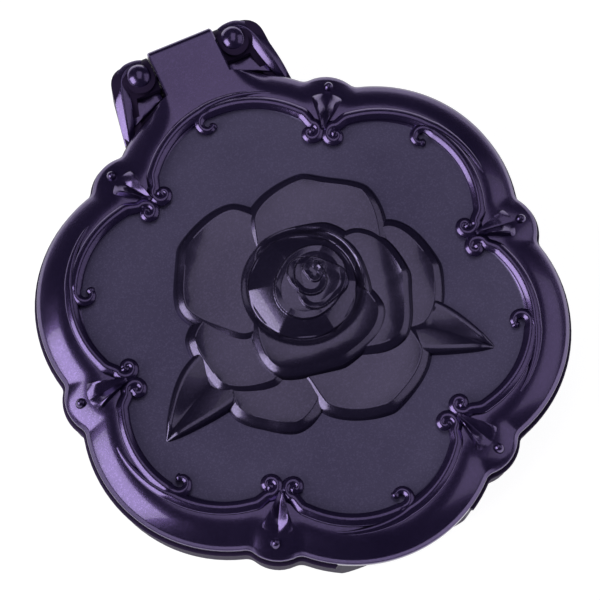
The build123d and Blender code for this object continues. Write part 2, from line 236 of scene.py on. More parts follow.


# %% [markdown]
# The lower case is violet like the lid, with a satin skin and far less gloss, and its colour is painted
# darker than the lid's as painted shade. That is why it reads as a dark line under the lid.


# %% Satin lower case with painted shade
def satin_case_with_painted_shade():
    finish = Finish("violet_satin_case")
    broad = finish.noise(70, 3)
    return finish.close(
        # Both colours are darker than the lid's violet: painted shade for the dark line under the lid and
        # the hollows of the hinge.
        Base_Color=finish.blend(broad.smooth(0.3, 0.7), (0.028, 0.018, 0.048), (0.042, 0.027, 0.068)),
        Roughness=broad * 0.1 + 0.30, Metallic=0.10, Specular_IOR_Level=0.01,
        Normal=finish.bump(finish.noise(2600, 3), 0.00004, 0.3))


SHADED_LOWER_CASE = satin_case_with_painted_shade()


# %% [markdown]
# The parts inside are plainer. Each still gets what the real one shows: a fine spark texture on
# the moulded trays, drawing marks on the wire, turning marks on the pan, pile on the velour and a
# weave on the satin and the ribbon.


# %% Moulded plastic, metals and paper
def grained(name, dark, light, rough, scale, depth, sheen=0.0):
    """A finish whose colour and height follow one fine noise."""
    finish = Finish(name)
    grain, broad = finish.noise(scale, 4, 0.6), finish.noise(90, 2)
    return finish.close(
        Base_Color=finish.blend(grain * 0.6 + broad * 0.4, dark, light), Roughness=broad * 0.12 + rough,
        Normal=finish.bump(grain, depth, 0.5), Sheen_Weight=sheen, Sheen_Roughness=0.4)


def brushed(name, dark, light, rough, stretch, scale):
    """A metal whose marks run one way: the noise is stretched by the three scale factors."""
    finish = Finish(name)
    drawn = finish.node("ShaderNodeVectorMath", {0: finish.place, 1: stretch}, operation="MULTIPLY")
    marks = finish.noise(scale, 5, place=drawn)
    return finish.close(
        Base_Color=finish.blend(marks, dark, light), Roughness=marks * 0.2 + rough, Metallic=1.0,
        Normal=finish.bump(marks, 0.00003, 0.3))


TRAY = grained("spark_textured_plastic", (0.020, 0.014, 0.034), (0.040, 0.030, 0.062), 0.38, 3200, 0.00005)
LABEL = grained("satin_label", (0.62, 0.61, 0.64), (0.74, 0.73, 0.76), 0.50, 1500, 0.00002)
TAPE = grained("adhesive_tape", (0.60, 0.57, 0.50), (0.78, 0.75, 0.68), 0.60, 900, 0.00005)
VELOUR = grained("velour_pile", (0.62, 0.50, 0.44), (0.86, 0.76, 0.70), 0.85, 2800, 0.0002, sheen=0.8)
STEEL = brushed("drawn_wire", (0.42, 0.42, 0.44), (0.66, 0.66, 0.68), 0.18, (0.05, 1, 1), 2500)
PAN = brushed("pressed_aluminium", (0.62, 0.62, 0.63), (0.82, 0.82, 0.83), 0.26, (1, 1, 0.05), 1400)


# %% Mirror glass and clear sheet
def mirror_finish():
    finish = Finish("silvered_glass")
    haze = finish.noise(60, 5, 0.7)
    return finish.close(
        Base_Color=finish.blend(haze, (0.84, 0.86, 0.87), (0.92, 0.93, 0.94)), Metallic=1.0,
        Roughness=haze.smooth(0.55, 0.9) * 0.05 + 0.015, Coat_Weight=1.0, Coat_Roughness=0.01)


def clear_finish():
    finish = Finish("clear_sheet")
    worn = finish.noise(240, 6, 0.75).smooth(0.5, 0.8)
    return finish.close(
        Base_Color=(0.9, 0.91, 0.93, 1), Roughness=worn * 0.25 + 0.05, Alpha=worn * 0.2 + 0.22)


MIRROR = mirror_finish()
CLEAR = clear_finish()


# %% Pressed powder, satin and ribbon
def powder_finish():
    finish = Finish("pressed_powder")
    dust, cloud = finish.noise(2400, 6, 0.7), finish.noise(110, 3)
    stops = (0.2, (0.62, 0.42, 0.31)), (0.8, (0.80, 0.60, 0.47))
    return finish.close(
        Base_Color=finish.ramp(cloud * 0.6 + dust * 0.4, *stops), Roughness=0.92, Sheen_Weight=0.25,
        Specular_IOR_Level=0.15, Normal=finish.bump(dust, 0.00008, 0.7))


def woven(name, dark, light, count, rough, sheen):
    """A weave along X and Y: count threads in a metre each way, one passing over the other."""
    finish = Finish(name)
    axes = [finish.node("ShaderNodeSeparateXYZ", {"Vector": finish.place}, axis) for axis in ("X", "Y")]
    warp, weft = [(axis * (count * math.tau)).sine() for axis in axes]
    over = (warp * weft) > 0
    thread = warp * warp * over + weft * weft * (1 - over)
    slub = finish.noise(420, 3)
    return finish.close(
        Base_Color=finish.blend(thread * 0.55 + slub * 0.45, dark, light), Roughness=slub * 0.15 + rough,
        Normal=finish.bump(thread, 0.00005, 0.5), Sheen_Weight=sheen, Sheen_Roughness=0.35)


POWDER = powder_finish()
SATIN = woven("lilac_satin", (0.30, 0.26, 0.36), (0.52, 0.47, 0.60), 2600, 0.34, 0.5)
RIBBON = woven("violet_ribbon", (0.045, 0.030, 0.085), (0.105, 0.080, 0.165), 2200, 0.32, 0.4)

# %% [markdown]
# ## Mesh helpers
# Most mouldings here are lofts: rings of points, one inside or above the next, joined by quads.
# `loft` can close its two ends with a point each, so that a piece is always a closed solid whose
# faces look outwards.


# %% Objects and clean meshes
def placed(name, data):
    """A new object at the origin of the scene."""
    made = bpy.data.objects.new(name, data)
    bpy.context.scene.collection.objects.link(made)
    return made


def clean(mesh, distance):
    """Merge doubled points and turn all faces outwards."""
    shape = bmesh.new()
    shape.from_mesh(mesh)
    bmesh.ops.remove_doubles(shape, verts=shape.verts, dist=distance)
    bmesh.ops.recalc_face_normals(shape, faces=shape.faces)
    shape.to_mesh(mesh)
    shape.free()


def finish_mesh(name, verts, faces, *finishes, sharp=40):
    """An object from points in millimetres, smooth except across sharp edges."""
    mesh = bpy.data.meshes.new(name)
    mesh.from_pydata([tuple(c * MM for c in v) for v in verts], [], faces)
    clean(mesh, 1e-7)
    mesh.shade_smooth()
    mesh.set_sharp_from_angle(angle=math.radians(sharp))
    for finish in finishes:
        mesh.materials.append(finish)
    print(f"{name}: {len(mesh.polygons)} faces")
    return placed(name, mesh)


def joined(name, pieces):
    """Join meshes into one piece."""
    shape = bmesh.new()
    for piece in pieces:
        shape.from_mesh(piece.data)
    first = pieces[0]
    shape.to_mesh(first.data)
    shape.free()
    for piece in pieces[1:]:
        bpy.data.objects.remove(piece)
    first.name = first.data.name = name
    print(f"{name}: {len(first.data.polygons)} faces")
    return first


# %% Loft rings into a closed solid
def loft(name, rings, *finishes, ends=True, sharp=40):
    """Join rings of the same number of points. With ends, each end is closed by its middle point."""
    count = len(rings[0])
    verts = np.concatenate(rings)
    sides = [(n, (n + 1) % count) for n in range(count)]
    faces = []
    for k in range(0, len(verts) - count, count):
        faces += [(k + n, k + m, k + count + m, k + count + n) for n, m in sides]
    if ends:
        first, last, tail = len(verts), len(verts) + 1, len(verts) - count
        verts = np.vstack([verts, rings[0].mean(axis=0), rings[-1].mean(axis=0)])
        for n, m in sides:
            faces += [(first, m, n), (last, tail + n, tail + m)]
    return finish_mesh(name, verts, faces, *finishes, sharp=sharp)


def points(x, y, z):
    """Rows of x, y and z, where any of the three may be one number for all rows."""
    return np.column_stack(np.broadcast_arrays(x, y, z))


def round_angles(count):
    return np.linspace(0, math.tau, count, endpoint=False)


def turned(u, v, way):
    """Turn plan coordinates round the origin."""
    c, s = math.cos(way), math.sin(way)
    return u * c - v * s, u * s + v * c


def eased(t):
    """A soft step: 0 at 0 and 1 at 1, level at both."""
    return t * t * (3 - 2 * t)


def between(pair, t):
    """The number that lies a share t of the way from the first of a pair to the second."""
    return pair[0] + (pair[1] - pair[0]) * t


# %% [markdown]
# ## The lobed outline
# Seen from above, the case is six round lobes with a small bump between each pair. In polar form,
# one sector of 60 degrees says it all: a big circle, a small circle, and a hollow corner that is
# tangent to both. The outline can be drawn in by any inset, because the circles keep their
# centres.

# %% The outline in polar form
LOBE_TIP, BUMP_TIP = 38.5, 36.7      # how far the base flange reaches
LOBE_RADIUS, BUMP_RADIUS, CORNER = 20.8, 6.0, 1.4
LOBE_CENTRE = LOBE_TIP - LOBE_RADIUS
BUMP_CENTRE = BUMP_TIP - BUMP_RADIUS
HALF = math.radians(30)              # half a sector
LID_INSET = LOBE_TIP - LOBE_REACH


def corner_centre():
    """The hollow corner's centre, in a frame whose Y axis runs through a lobe."""
    lobe = np.array([0.0, LOBE_CENTRE])
    bump = BUMP_CENTRE * np.array([math.sin(HALF), math.cos(HALF)])
    span = np.linalg.norm(bump - lobe)
    a, b = LOBE_RADIUS + CORNER, BUMP_RADIUS + CORNER
    along = (a * a - b * b + span * span) / (2 * span)
    across = math.sqrt(a * a - along * along)
    way = (bump - lobe) / span
    return lobe + way * along + np.array([-way[1], way[0]]) * across, lobe, bump


HOLLOW, LOBE_MID, BUMP_MID = corner_centre()


def ray(centre, radius, angle, far=True):
    """Where a ray from the origin, at angle from the lobe's axis, meets a circle."""
    reach = np.linalg.norm(centre)
    off = angle - math.atan2(centre[0], centre[1])
    root = np.sqrt(np.maximum(radius**2 - (reach * np.sin(off)) ** 2, 0))
    return reach * np.cos(off) + (root if far else -root)


def folded(angle):
    """The angle from the nearest lobe's axis."""
    return np.abs((angle + HALF) % (2 * HALF) - HALF)


def outline(angle, inset):
    """The case's reach at each angle from a lobe's axis, drawn in by inset."""
    fold = folded(angle)
    touch = []
    for middle, radius in ((LOBE_MID, LOBE_RADIUS), (BUMP_MID, BUMP_RADIUS)):
        point = middle + (HOLLOW - middle) / np.linalg.norm(HOLLOW - middle) * (radius - inset)
        touch.append(math.atan2(point[0], point[1]))
    on_lobe = ray(LOBE_MID, LOBE_RADIUS - inset, fold)
    in_corner = ray(HOLLOW, CORNER + inset, fold, far=False)
    on_bump = ray(BUMP_MID, BUMP_RADIUS - inset, fold)
    return np.where(fold < touch[0], on_lobe, np.where(fold < touch[1], in_corner, on_bump))


def scrolled(angle, radius):
    """The plain six-lobed line that the scroll frame follows, at radius from each lobe's centre."""
    return ray(LOBE_MID, radius, folded(angle))


TURN = round_angles(1080)


def ring(reach, height):
    """Points round the centre from a reach at each angle."""
    return points(reach * np.sin(TURN), reach * np.cos(TURN), height)


reaches = outline(TURN, LID_INSET)
print("outline reach", round(float(reaches.min()), 2), "to", round(float(reaches.max()), 2))

# %% [markdown]
# ## The lid
# The lid is one moulding: a short wall, a swelling rim and a flat field that sits a little lower.
# The rim's profile is drawn once, as a curve that swells from the wall to the foot of the scroll
# frame, and every angle stretches it between the lobed outline and the plainer line of the
# scrolls. This is why the bumps melt away towards the middle.

# %% Loft the lid
LID_WALL = 1.6
SCROLL_LINE = 14.8                   # the scroll frame, from each lobe's centre
SCROLL_FOOT = SCROLL_LINE + 0.4      # where the rim's slope meets it
RIM_TOP = 12.95
RIM_DROP = 2.4
STRAP_HALF = 5.05                    # half the width of the hinge strap
STRAP_FLARE = 9.6                    # half its width where it melts into the rim
STRAP_TOP = hinge.z + 3.40
STRAP_FROM, STRAP_TO = 32.6, 44.0    # where its slope begins and ends


def ramp(y):
    """The height of the strap's top along Y: it leaves the rim's crest in a long gentle S."""
    t = np.clip((y - STRAP_FROM) / (STRAP_TO - STRAP_FROM), 0, 1)
    return RIM_TOP - (RIM_TOP - STRAP_TOP) * (0.55 * t + 0.45 * eased(t))


def rim_slope(share):
    """The rim's height from its outer edge, share 0, to the foot of the scrolls, share 1."""
    return RIM_TOP - RIM_DROP * (1 - share) ** 2.1


def with_strap(rim):
    """Lift the rim to the strap's ramp at the back, fading out to both sides."""
    x, y, z = rim.T
    t = np.clip((STRAP_FLARE - np.abs(x)) / (STRAP_FLARE - STRAP_HALF), 0, 1)
    return points(x, y, z + np.where(y > 0, eased(t), 0) * np.maximum(ramp(y) - z, 0))


def lid_rings():
    outer, inner = outline(TURN, LID_INSET), outline(TURN, LID_INSET + LID_WALL)
    foot, inside = scrolled(TURN, SCROLL_FOOT), scrolled(TURN, SCROLL_LINE - 0.75)
    rings = [ring(0 * outer, CEILING)]
    rings += [ring(inner * 0.5, CEILING), ring(inner - 0.3, CEILING), ring(inner, CEILING - 0.3)]
    rings += [ring(inner, PARTING + 0.1), ring(inner + 0.1, PARTING), ring(outer - 0.25, PARTING)]
    rings += [ring(outer - 0.06, PARTING + 0.08), ring(outer, PARTING + 0.25)]
    for bend in np.radians([0, 20, 42, 62]):
        height = RIM_TOP - RIM_DROP - 0.45 + 0.4 * math.sin(bend)
        rings.append(with_strap(ring(outer - 0.4 * (1 - math.cos(bend)), height)))
    for share in np.linspace(0.07, 1, 20):
        rings.append(with_strap(ring(between((outer, foot), share), rim_slope(share))))
    rings += [ring(foot - 0.5, RIM_TOP - 0.1), ring(inside + 0.25, FIELD + 0.35), ring(inside, FIELD + 0.12)]
    rings += [ring(inside - 0.25, FIELD), ring(inside * 0.85, FIELD), ring(inside * 0.4, FIELD)]
    rings.append(ring(0 * inside, FIELD))
    return rings


lid_shell = loft("lid_shell", lid_rings(), CASE, GRAINED, ends=False)
for polygon in lid_shell.data.polygons:
    x, y, z = polygon.center / MM
    field_edge = float(scrolled(math.atan2(x, y), SCROLL_LINE - 0.7))
    if z > CEILING + 0.3 and math.hypot(x, y) < field_edge:
        polygon.material_index = 1

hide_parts("lid_cover")
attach(lid_shell, "lid")

# %% [markdown]
# The strap that reaches back to the hinge is part of the same moulding. It is drawn from the
# side, as the real tool maker would, and pushed through its width; a small bevel takes the edge
# off. The bore for the pin goes right through it.

# %% The hinge strap
HEEL = 2.88                          # the rounded heel of the strap, about the hinge axis
STRAP_EDGE = 0.22                    # its bevel
PIN_BORE = 0.85


def strap_side():
    """The strap's side view as (y, z), from its root in the rim, round the hinge and back."""
    back = hinge.y + HEEL
    top = STRAP_TOP - 0.02
    line = [(36.2, PARTING + 0.9), (36.4, 11.2), (36.6, float(ramp(36.6)) - 0.4)]
    line += [(y, float(ramp(y)) - 0.01) for y in np.linspace(37.0, back - 1.2, 10)]
    line.append((back - 1.0, top))
    for bend in np.radians([75, 60, 45, 30, 15, 0]):
        line.append((back - 1.0 + math.cos(bend), top - 1.02 + math.sin(bend)))
    for bend in np.radians(np.arange(0, -192, -8)):
        line.append((hinge.y + HEEL * math.cos(bend), hinge.z + HEEL * math.sin(bend)))
    return line + [(38.4, PARTING + 0.02), (36.4, PARTING + 0.02)]


def bored_prism(name, side, half, bore, *finishes):
    """Push a side view through its width, with a round bore on the hinge axis."""
    count = len(side)
    y0, z0 = hinge.y, hinge.z
    hole, shrunk = [], []
    for y, z in side:
        way = math.atan2(z - z0, y - y0)
        hole.append((y0 + bore * math.cos(way), z0 + bore * math.sin(way)))
        pull = STRAP_EDGE / max(1.0, math.hypot(y - y0, z - z0))
        shrunk.append((y + (y0 - y) * pull, z + (z0 - z) * pull))
    flat = half - STRAP_EDGE
    loops = [(hole, -half), (shrunk, -half), (side, -flat), (side, flat), (shrunk, half), (hole, half)]
    verts = [(x, y, z) for line, x in loops for y, z in line]
    faces = []
    for k in range(len(loops)):
        a, b = k * count, ((k + 1) % len(loops)) * count
        for n in range(count):
            m = (n + 1) % count
            faces.append((a + n, a + m, b + m, b + n))
    return finish_mesh(name, verts, faces, *finishes, sharp=24)


strap = bored_prism("hinge_strap", strap_side(), STRAP_HALF, PIN_BORE, CASE)
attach(strap, "lid")

# %% [markdown]
# ## The scroll frame
# Six pairs of C-scrolls run round the field. Each scroll starts in a small volute beside a bump,
# follows its lobe and ends in a hooked curl near the middle of the lobe, where its partner slides
# under it. Geometry Nodes suit this: a curve gives the path, its radius gives the taper, a rounded
# section is swept along it, and one sector is repeated six times.


# %% Trees for what repeats
def new_group(name, **inputs):
    """A Geometry Nodes tree with a geometry, the named inputs and a finish, and their Wires."""
    group = bpy.data.node_groups.new(name, "GeometryNodeTree")
    sockets = {"Geometry": "Geometry", **inputs, "Finish": "Material"}
    for label, kind in sockets.items():
        group.interface.new_socket(
            label.replace("_", " "), in_out="INPUT", socket_type=f"NodeSocket{kind}")
    group.interface.new_socket("Geometry", in_out="OUTPUT", socket_type="NodeSocketGeometry")
    tree = Tree(group)
    source = group.nodes.new("NodeGroupInput")
    return tree, [Wire(tree, socket) for socket in list(source.outputs)[:len(sockets)]]


def end_group(tree, copies, finish):
    """Make the instances real, shade them smooth and give them their finish."""
    real = tree.node("GeometryNodeRealizeInstances", {"Geometry": copies})
    smooth = tree.node("GeometryNodeSetShadeSmooth", {"Geometry": real})
    coloured = tree.node("GeometryNodeSetMaterial", {"Geometry": smooth, "Material": finish})
    sink = tree.tree.nodes.new("NodeGroupOutput")
    tree.tree.links.new(coloured.socket, sink.inputs[0])
    return tree.tree


def sweep_tree():
    """Sweep a rounded section along the curve, then repeat it round the centre."""
    tree, (path, copies, width, height, finish) = new_group(
        "sweep_and_repeat", Copies="Int", Section_width="Float", Section_height="Float")
    diamond = tree.node("GeometryNodeCurvePrimitiveCircle", {"Resolution": 4, "Radius": 1.0})
    values = {"Curve": diamond, "Count": 3, "Radius": 0.42}
    rounded = tree.node("GeometryNodeFilletCurve", values, mode="POLY")
    size = tree.node("ShaderNodeCombineXYZ", {"X": width, "Y": height, "Z": 1.0})
    section = tree.node("GeometryNodeTransform", {"Geometry": rounded, "Scale": size})
    upright = tree.node("GeometryNodeSetCurveNormal", {"Curve": path}, mode="Z_UP")
    taper = tree.node("GeometryNodeInputRadius")
    values = {"Curve": upright, "Profile Curve": section, "Scale": taper, "Fill Caps": True}
    swept = tree.node("GeometryNodeCurveToMesh", values)
    spots = tree.node("GeometryNodeMeshLine", {"Count": copies, "Offset": (0, 0, 0)})
    turn = tree.node("GeometryNodeInputIndex") * math.tau / copies
    angle = tree.node("ShaderNodeCombineXYZ", {"Z": turn})
    values = {"Points": spots, "Instance": swept, "Rotation": angle}
    return end_group(tree, tree.node("GeometryNodeInstanceOnPoints", values), finish)


SWEEP = sweep_tree()


def grow(name, source, group, **inputs):
    """Run a Geometry Nodes group on an object and keep the result as a plain mesh."""
    modifier = source.modifiers.new("grow", "NODES")
    modifier.node_group = group
    sockets = {item.name: item.identifier for item in group.interface.items_tree
               if item.item_type == "SOCKET" and item.in_out == "INPUT"}
    for label, value in inputs.items():
        modifier[sockets[label.replace("_", " ")]] = value
    bpy.context.view_layer.update()
    graph = bpy.context.evaluated_depsgraph_get()
    mesh = bpy.data.meshes.new_from_object(source.evaluated_get(graph), depsgraph=graph)
    bpy.data.objects.remove(source)
    mesh.name = name
    clean(mesh, 1e-8)
    print(f"{name}: {len(mesh.polygons)} faces")
    return placed(name, mesh)


# %% Paths of the scrolls
def curve_object(name, paths, closed=False):
    """A curve of one spline for each path of (x, y, z, radius) points, in millimetres."""
    curve = bpy.data.curves.new(name, "CURVE")
    curve.dimensions = "3D"
    for path in paths:
        spline = curve.splines.new("POLY")
        spline.points.add(len(path) - 1)
        spline.use_cyclic_u = closed
        for point, (x, y, z, radius) in zip(spline.points, path):
            point.co = (x * MM, y * MM, z * MM, 1)
            point.radius = radius * MM
    return placed(name, curve)


def smooth_path(knots, step=0.22):
    """A Catmull-Rom line through knots of (x, y, z, radius), with a point every step or so."""
    knots = np.array(knots, float)
    ends = np.vstack([2 * knots[0] - knots[1], knots, 2 * knots[-1] - knots[-2]])
    line = []
    for a, b, c, d in zip(ends, ends[1:], ends[2:], ends[3:]):
        count = max(2, int(np.linalg.norm((c - b)[:3]) / step))
        for t in np.arange(count) / count:
            line.append(0.5 * (2 * b + (c - a) * t + (2 * a - 5 * b + 4 * c - d) * t**2
                               + (3 * b - a - 3 * c + d) * t**3))
    line.append(knots[-1])
    return line


def volute(centre, start, turns, reaches, heights, radii, count=14):
    """Knots of a flat spiral round a centre. Positive turns run clockwise."""
    knots = []
    for t in np.arange(count) / (count - 1):
        u, v = turned(between(reaches, t), 0, start - math.tau * turns * t)
        knots.append((centre[0] + u, centre[1] + v, between(heights, t), between(radii, t)))
    return knots


def lobe_arc(angles, reaches, heights, radii, count):
    """Knots along a lobe: angles about its centre in degrees, with reach, height and radius."""
    knots = []
    for t in np.arange(count) / (count - 1):
        u, v = turned(between(reaches, t), 0, math.radians(between(angles, t)))
        knots.append((u, LOBE_CENTRE + v, between(heights, t), between(radii, t)))
    return knots


CREST = 13.15                        # the height of a scroll's centre line
VOLUTE_AT = (11.6, 23.65)            # beside the bump on the right of the lobe that points to +Y
HOOK_AT = (-1.35, 30.75)             # the small curl near the middle of the lobe
VOLUTE_BALL, HOOK_BALL = 0.85, 0.68


def knobbed(path, size):
    """Round off the end of a path with half a ball."""
    *place, _ = path[-1]
    way = (path[-1] - path[-3])[:3]
    way = way / np.linalg.norm(way)
    ball = []
    for bend in np.radians([15, 30, 45, 60, 72, 82, 89]):
        ball.append(np.append(np.array(place) + way * size * math.sin(bend), size * math.cos(bend)))
    return list(path) + ball


def junction_curl():
    """From the ball in the middle of a volute out to the start of the lobe's arc."""
    start = math.radians(64)
    return volute(VOLUTE_AT, start, 0.95, (1.55, 0.30), (CREST, CREST + 0.1), (0.86, 0.62))[::-1]


def leading_scroll():
    """From the volute on the right, over the lobe, to the hook just left of its middle."""
    run = lobe_arc((37, 92), (14.8, 14.7), (CREST, CREST), (0.92, 0.95), 14)
    start = math.radians(80)
    hook = volute(HOOK_AT, start, -0.62, (1.6, 0.75), (CREST, CREST - 0.1), (0.80, 0.50), 8)
    return knobbed(knobbed(smooth_path(junction_curl() + run + hook), HOOK_BALL)[::-1], VOLUTE_BALL)


def trailing_scroll():
    """From the volute on the left, over the lobe, sliding out behind the leading scroll."""
    run = lobe_arc((37, 84), (14.8, 15.3), (CREST, CREST - 0.05), (0.92, 0.90), 12)
    slide = lobe_arc((88, 122), (15.5, 16.6), (CREST - 0.08, CREST - 0.55), (0.84, 0.30), 8)
    path = knobbed(smooth_path(junction_curl() + run + slide)[::-1], VOLUTE_BALL)
    return [(-x, y, z, r) for x, y, z, r in path]


scrolls = grow("scroll_frame", curve_object("scroll_paths", [leading_scroll(), trailing_scroll()]), SWEEP,
               Copies=6, Section_width=1.25, Section_height=0.90, Finish=CASE)
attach(scrolls, "lid")

# %% [markdown]
# At each bump a raised flame opens outwards from between the two volutes and melts into the rim,
# and a bead sits outside it. The flame is a loft of scooped sections along its length. The bead is
# a rounded drop: rings that shrink towards the top.


# %% Flames and beads
def drop_rings(x, y, heights, length, width, direction, count=28):
    """Rings of a rounded drop, a little longer along its direction."""
    turn = round_angles(count)
    rings = []
    for rise in np.linspace(-0.35, 1, 9):
        share = math.sqrt(1 - max(0.0, rise) ** 2)
        u, v = turned(length / 2 * share * np.cos(turn), width / 2 * share * np.sin(turn), direction)
        rings.append(points(x + u, y + v, between(heights, rise)))
    return rings


def rim_height(x, y):
    """The height of the plain rim at a point in plan."""
    turn = np.arctan2(x, y)
    outer, foot = outline(turn, LID_INSET), scrolled(turn, SCROLL_FOOT)
    return rim_slope(np.clip((outer - np.hypot(x, y)) / (outer - foot), 0, 1))


def flame_rings(way, first=27.0, last=32.9, count=26):
    """Sections of a scooped flame, which opens outwards and melts away."""
    top = 25                         # points across the top of a section
    across = np.concatenate([np.linspace(-1, 1, top), np.linspace(1, -1, 7)[1:-1]])
    wing = np.minimum(np.abs(across) / 0.80, 1)
    fall = np.clip((np.abs(across) - 0.80) / 0.20, 0, 1)
    rings = []
    for t in np.linspace(0, 1, count):
        reach = between((first, last), t) - 0.9 * t * across**2
        half = 0.30 + 2.15 * t**1.15
        lift = 1.30 * (1 - t**6) * (0.80 + 0.20 * math.sin(math.pi * t))
        valley = lift * (1 - 0.92 * min(1.0, 1.6 * t))
        height = valley + (lift - valley) * wing**1.25 - (lift + 0.3) * fall**1.6
        height[top:] = -0.4
        x, y = turned(reach, half * across, way)
        rings.append(points(x, y, rim_height(x, y) + height))
    return rings


BEAD_REACH = 34.1


def junction_flames():
    made = []
    for way in np.radians(range(0, 360, 60)):
        x, y = turned(BEAD_REACH, 0, way)
        made.append(loft("flame", flame_rings(way), CASE))
        made.append(loft("bead", drop_rings(x, y, (11.2, 12.6), 1.7, 1.6, way), CASE))
    return joined("junction_flames", made)


flames = junction_flames()
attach(flames, "lid")

# %% [markdown]
# ## The rose
# The rose is a low relief of overlapping petals, like tiles laid from the outside in. Every petal
# is a shallow dish with a lip that rolls over and drops to the petal below it. A superellipse in
# polar form gives the outline, because its corners can be made as round or as square as needed,
# and a few waves along it keep the edge from looking drawn with a compass.


# %% One petal
BUD_X, BUD_Y, BUD_RADIUS, BUD_RISE = 1.2, 2.8, 7.9, 2.75
ROLL = 1.55                          # how far a lip rolls over, seen from above
INNER_LIP = 0.60                     # the height that petals sink to where they meet the bud


def oval(turn, length, width, squareness):
    """The reach of a superellipse at each angle."""
    along = np.abs(np.cos(turn)) / (length / 2)
    across = np.abs(np.sin(turn)) / (width / 2)
    return (along**squareness + across**squareness) ** (-1 / squareness)


def rolled(crest, over):
    """The height of a lip as it rolls over: an even slope first, then a steep drop."""
    even = 0.50 * ROLL
    return crest - even * over - (crest + 0.2 - even) * over**5


def petal_edge(form, turn):
    """The reach of a petal's crest at each angle about its middle: an oval with a few points."""
    pointed = 1.03 - 0.075 * np.sqrt(np.sin(form["points"] / 2 * turn + form["phase"]) ** 2 + 0.015)
    return oval(turn, form["length"] - 2 * ROLL, form["width"] - 2 * ROLL, 2.4) * pointed


def petal_height(form, x, y):
    """A petal's height over points in plan, and how far out they lie, where 1 is its crest."""
    u, v = turned(x - form["x"], y - form["y"], -form["way"])
    turn = np.arctan2(v, u)
    reach = petal_edge(form, turn)
    share = np.hypot(u, v) / reach
    wave = 0.09 * np.cos(form["points"] * turn + 2 * form["phase"])
    crest = form["lip"] * (0.78 + 0.22 * np.cos(turn)) + wave
    height = between((form["floor"], crest), np.minimum(share, 1) ** 3.2)
    over = np.clip((share - 1) * reach / ROLL, 0, 1)
    return np.where(share <= 1, height, rolled(crest, over)), share


def tucked(plan, height, above):
    """Press a surface down wherever a petal or the bud above covers it, so nothing shows through."""
    x, y = plan.T
    for form in above:
        over, share = petal_height(form, x, y)
        height = np.where(share < 1, np.minimum(height, over - 0.15), height)
    clear = np.clip((np.hypot(x - BUD_X, y - BUD_Y) - BUD_RADIUS + 0.2) / 1.2, 0, 1)
    return np.where(height > INNER_LIP, INNER_LIP + (height - INNER_LIP) * eased(clear), height)


def petal(form, above, count=220):
    """A closed petal, tucked under the petals above it."""
    turn = round_angles(count)
    reach = petal_edge(form, turn)
    edge = np.column_stack(turned(reach * np.cos(turn), reach * np.sin(turn), form["way"]))
    tangent = np.roll(edge, -2, axis=0) - np.roll(edge, 2, axis=0)
    out = np.column_stack([tangent[:, 1], -tangent[:, 0]]) / np.linalg.norm(tangent, axis=1)[:, None]
    middle = np.array([form["x"], form["y"]])
    rings = []
    for share in np.concatenate([[0.0], np.linspace(0.06, 0.88, 17), np.linspace(0.90, 0.9999, 6)]):
        plan = middle + edge * share
        height, _ = petal_height(form, *plan.T)
        rings.append(points(*plan.T, FIELD + tucked(plan, height, above)))
    crest, _ = petal_height(form, *(middle + edge * 0.9999).T)
    for step in (0.10, 0.22, 0.34, 0.46, 0.58, 0.70, 0.80, 0.88, 0.94, 1.0):
        plan = middle + edge + out * ROLL * step
        rings.append(points(*plan.T, FIELD + tucked(plan, rolled(crest, step), above)))
    rings.append(points(*(middle + 0 * edge).T, SUNK))
    return loft("petal", rings, RELIEF, ends=False)


# %% [markdown]
# The bud is a cone with a rounded top, because the outermost petal still wraps it like a wall. On
# top the inner petals lie over one another as crescents: each is a slightly smaller, slightly
# shifted round that steps up at its edge and sinks behind it. The leaves are two halves that slope
# down to a midrib, with a rolled edge like that of the petals.


# %% The bud and the leaves
CRESCENTS = [
    # x and y from the bud's middle, radius, step, waves, phase
    (1.2, -0.1, 5.4, 0.50, 2, 0.4),
    (2.3, -0.7, 3.9, 0.55, 3, 2.2),
    (1.0, 0.7, 2.9, 0.50, 2, 4.0),
    (2.3, 1.1, 1.7, 0.40, 3, 0.9),
]

FACING = math.radians(191)           # the way that one of the six flats of the wall faces


def bud_height(u, v):
    """The height of the bud's surface at a point measured from its middle."""
    share = np.minimum(np.hypot(u, v) / BUD_RADIUS, 1)
    flat = np.cos((np.arctan2(v, u) - FACING + HALF) % (2 * HALF) - HALF)
    wall = np.clip((share * (0.15 + 0.92 * flat) - 0.44) / 0.56, 0, 1)
    height = BUD_RISE - 0.35 * (1 - wall) ** 3 - 1.95 * wall**1.1
    for x, y, radius, step, waves, phase in CRESCENTS:
        turn = np.arctan2(v - y, u - x)
        edge = radius * (1 + 0.11 * np.sin(waves * turn + phase)) - np.hypot(u - x, v - y)
        inside = np.clip(edge / 0.30, 0, 1)
        height = height + step * (eased(inside) - np.clip(edge / 1.15, 0, 1) ** 0.8)
    return height


def bud(count=260):
    turn = round_angles(count)
    levels = [(share, 0) for share in np.linspace(0, 0.955, 92)]
    levels += [(0.975, 0.05), (0.99, 0.20), (1.0, 0.50), (1.0, 0.90)]
    rings = []
    for share, drop in levels:
        u, v = BUD_RADIUS * share * np.cos(turn), BUD_RADIUS * share * np.sin(turn)
        rings.append(points(BUD_X + u, BUD_Y + v, FIELD + bud_height(u, v) - drop))
    rings.append(points(BUD_X + 0 * turn, BUD_Y, SUNK))
    return loft("rose_bud", rings, RELIEF, ends=False)


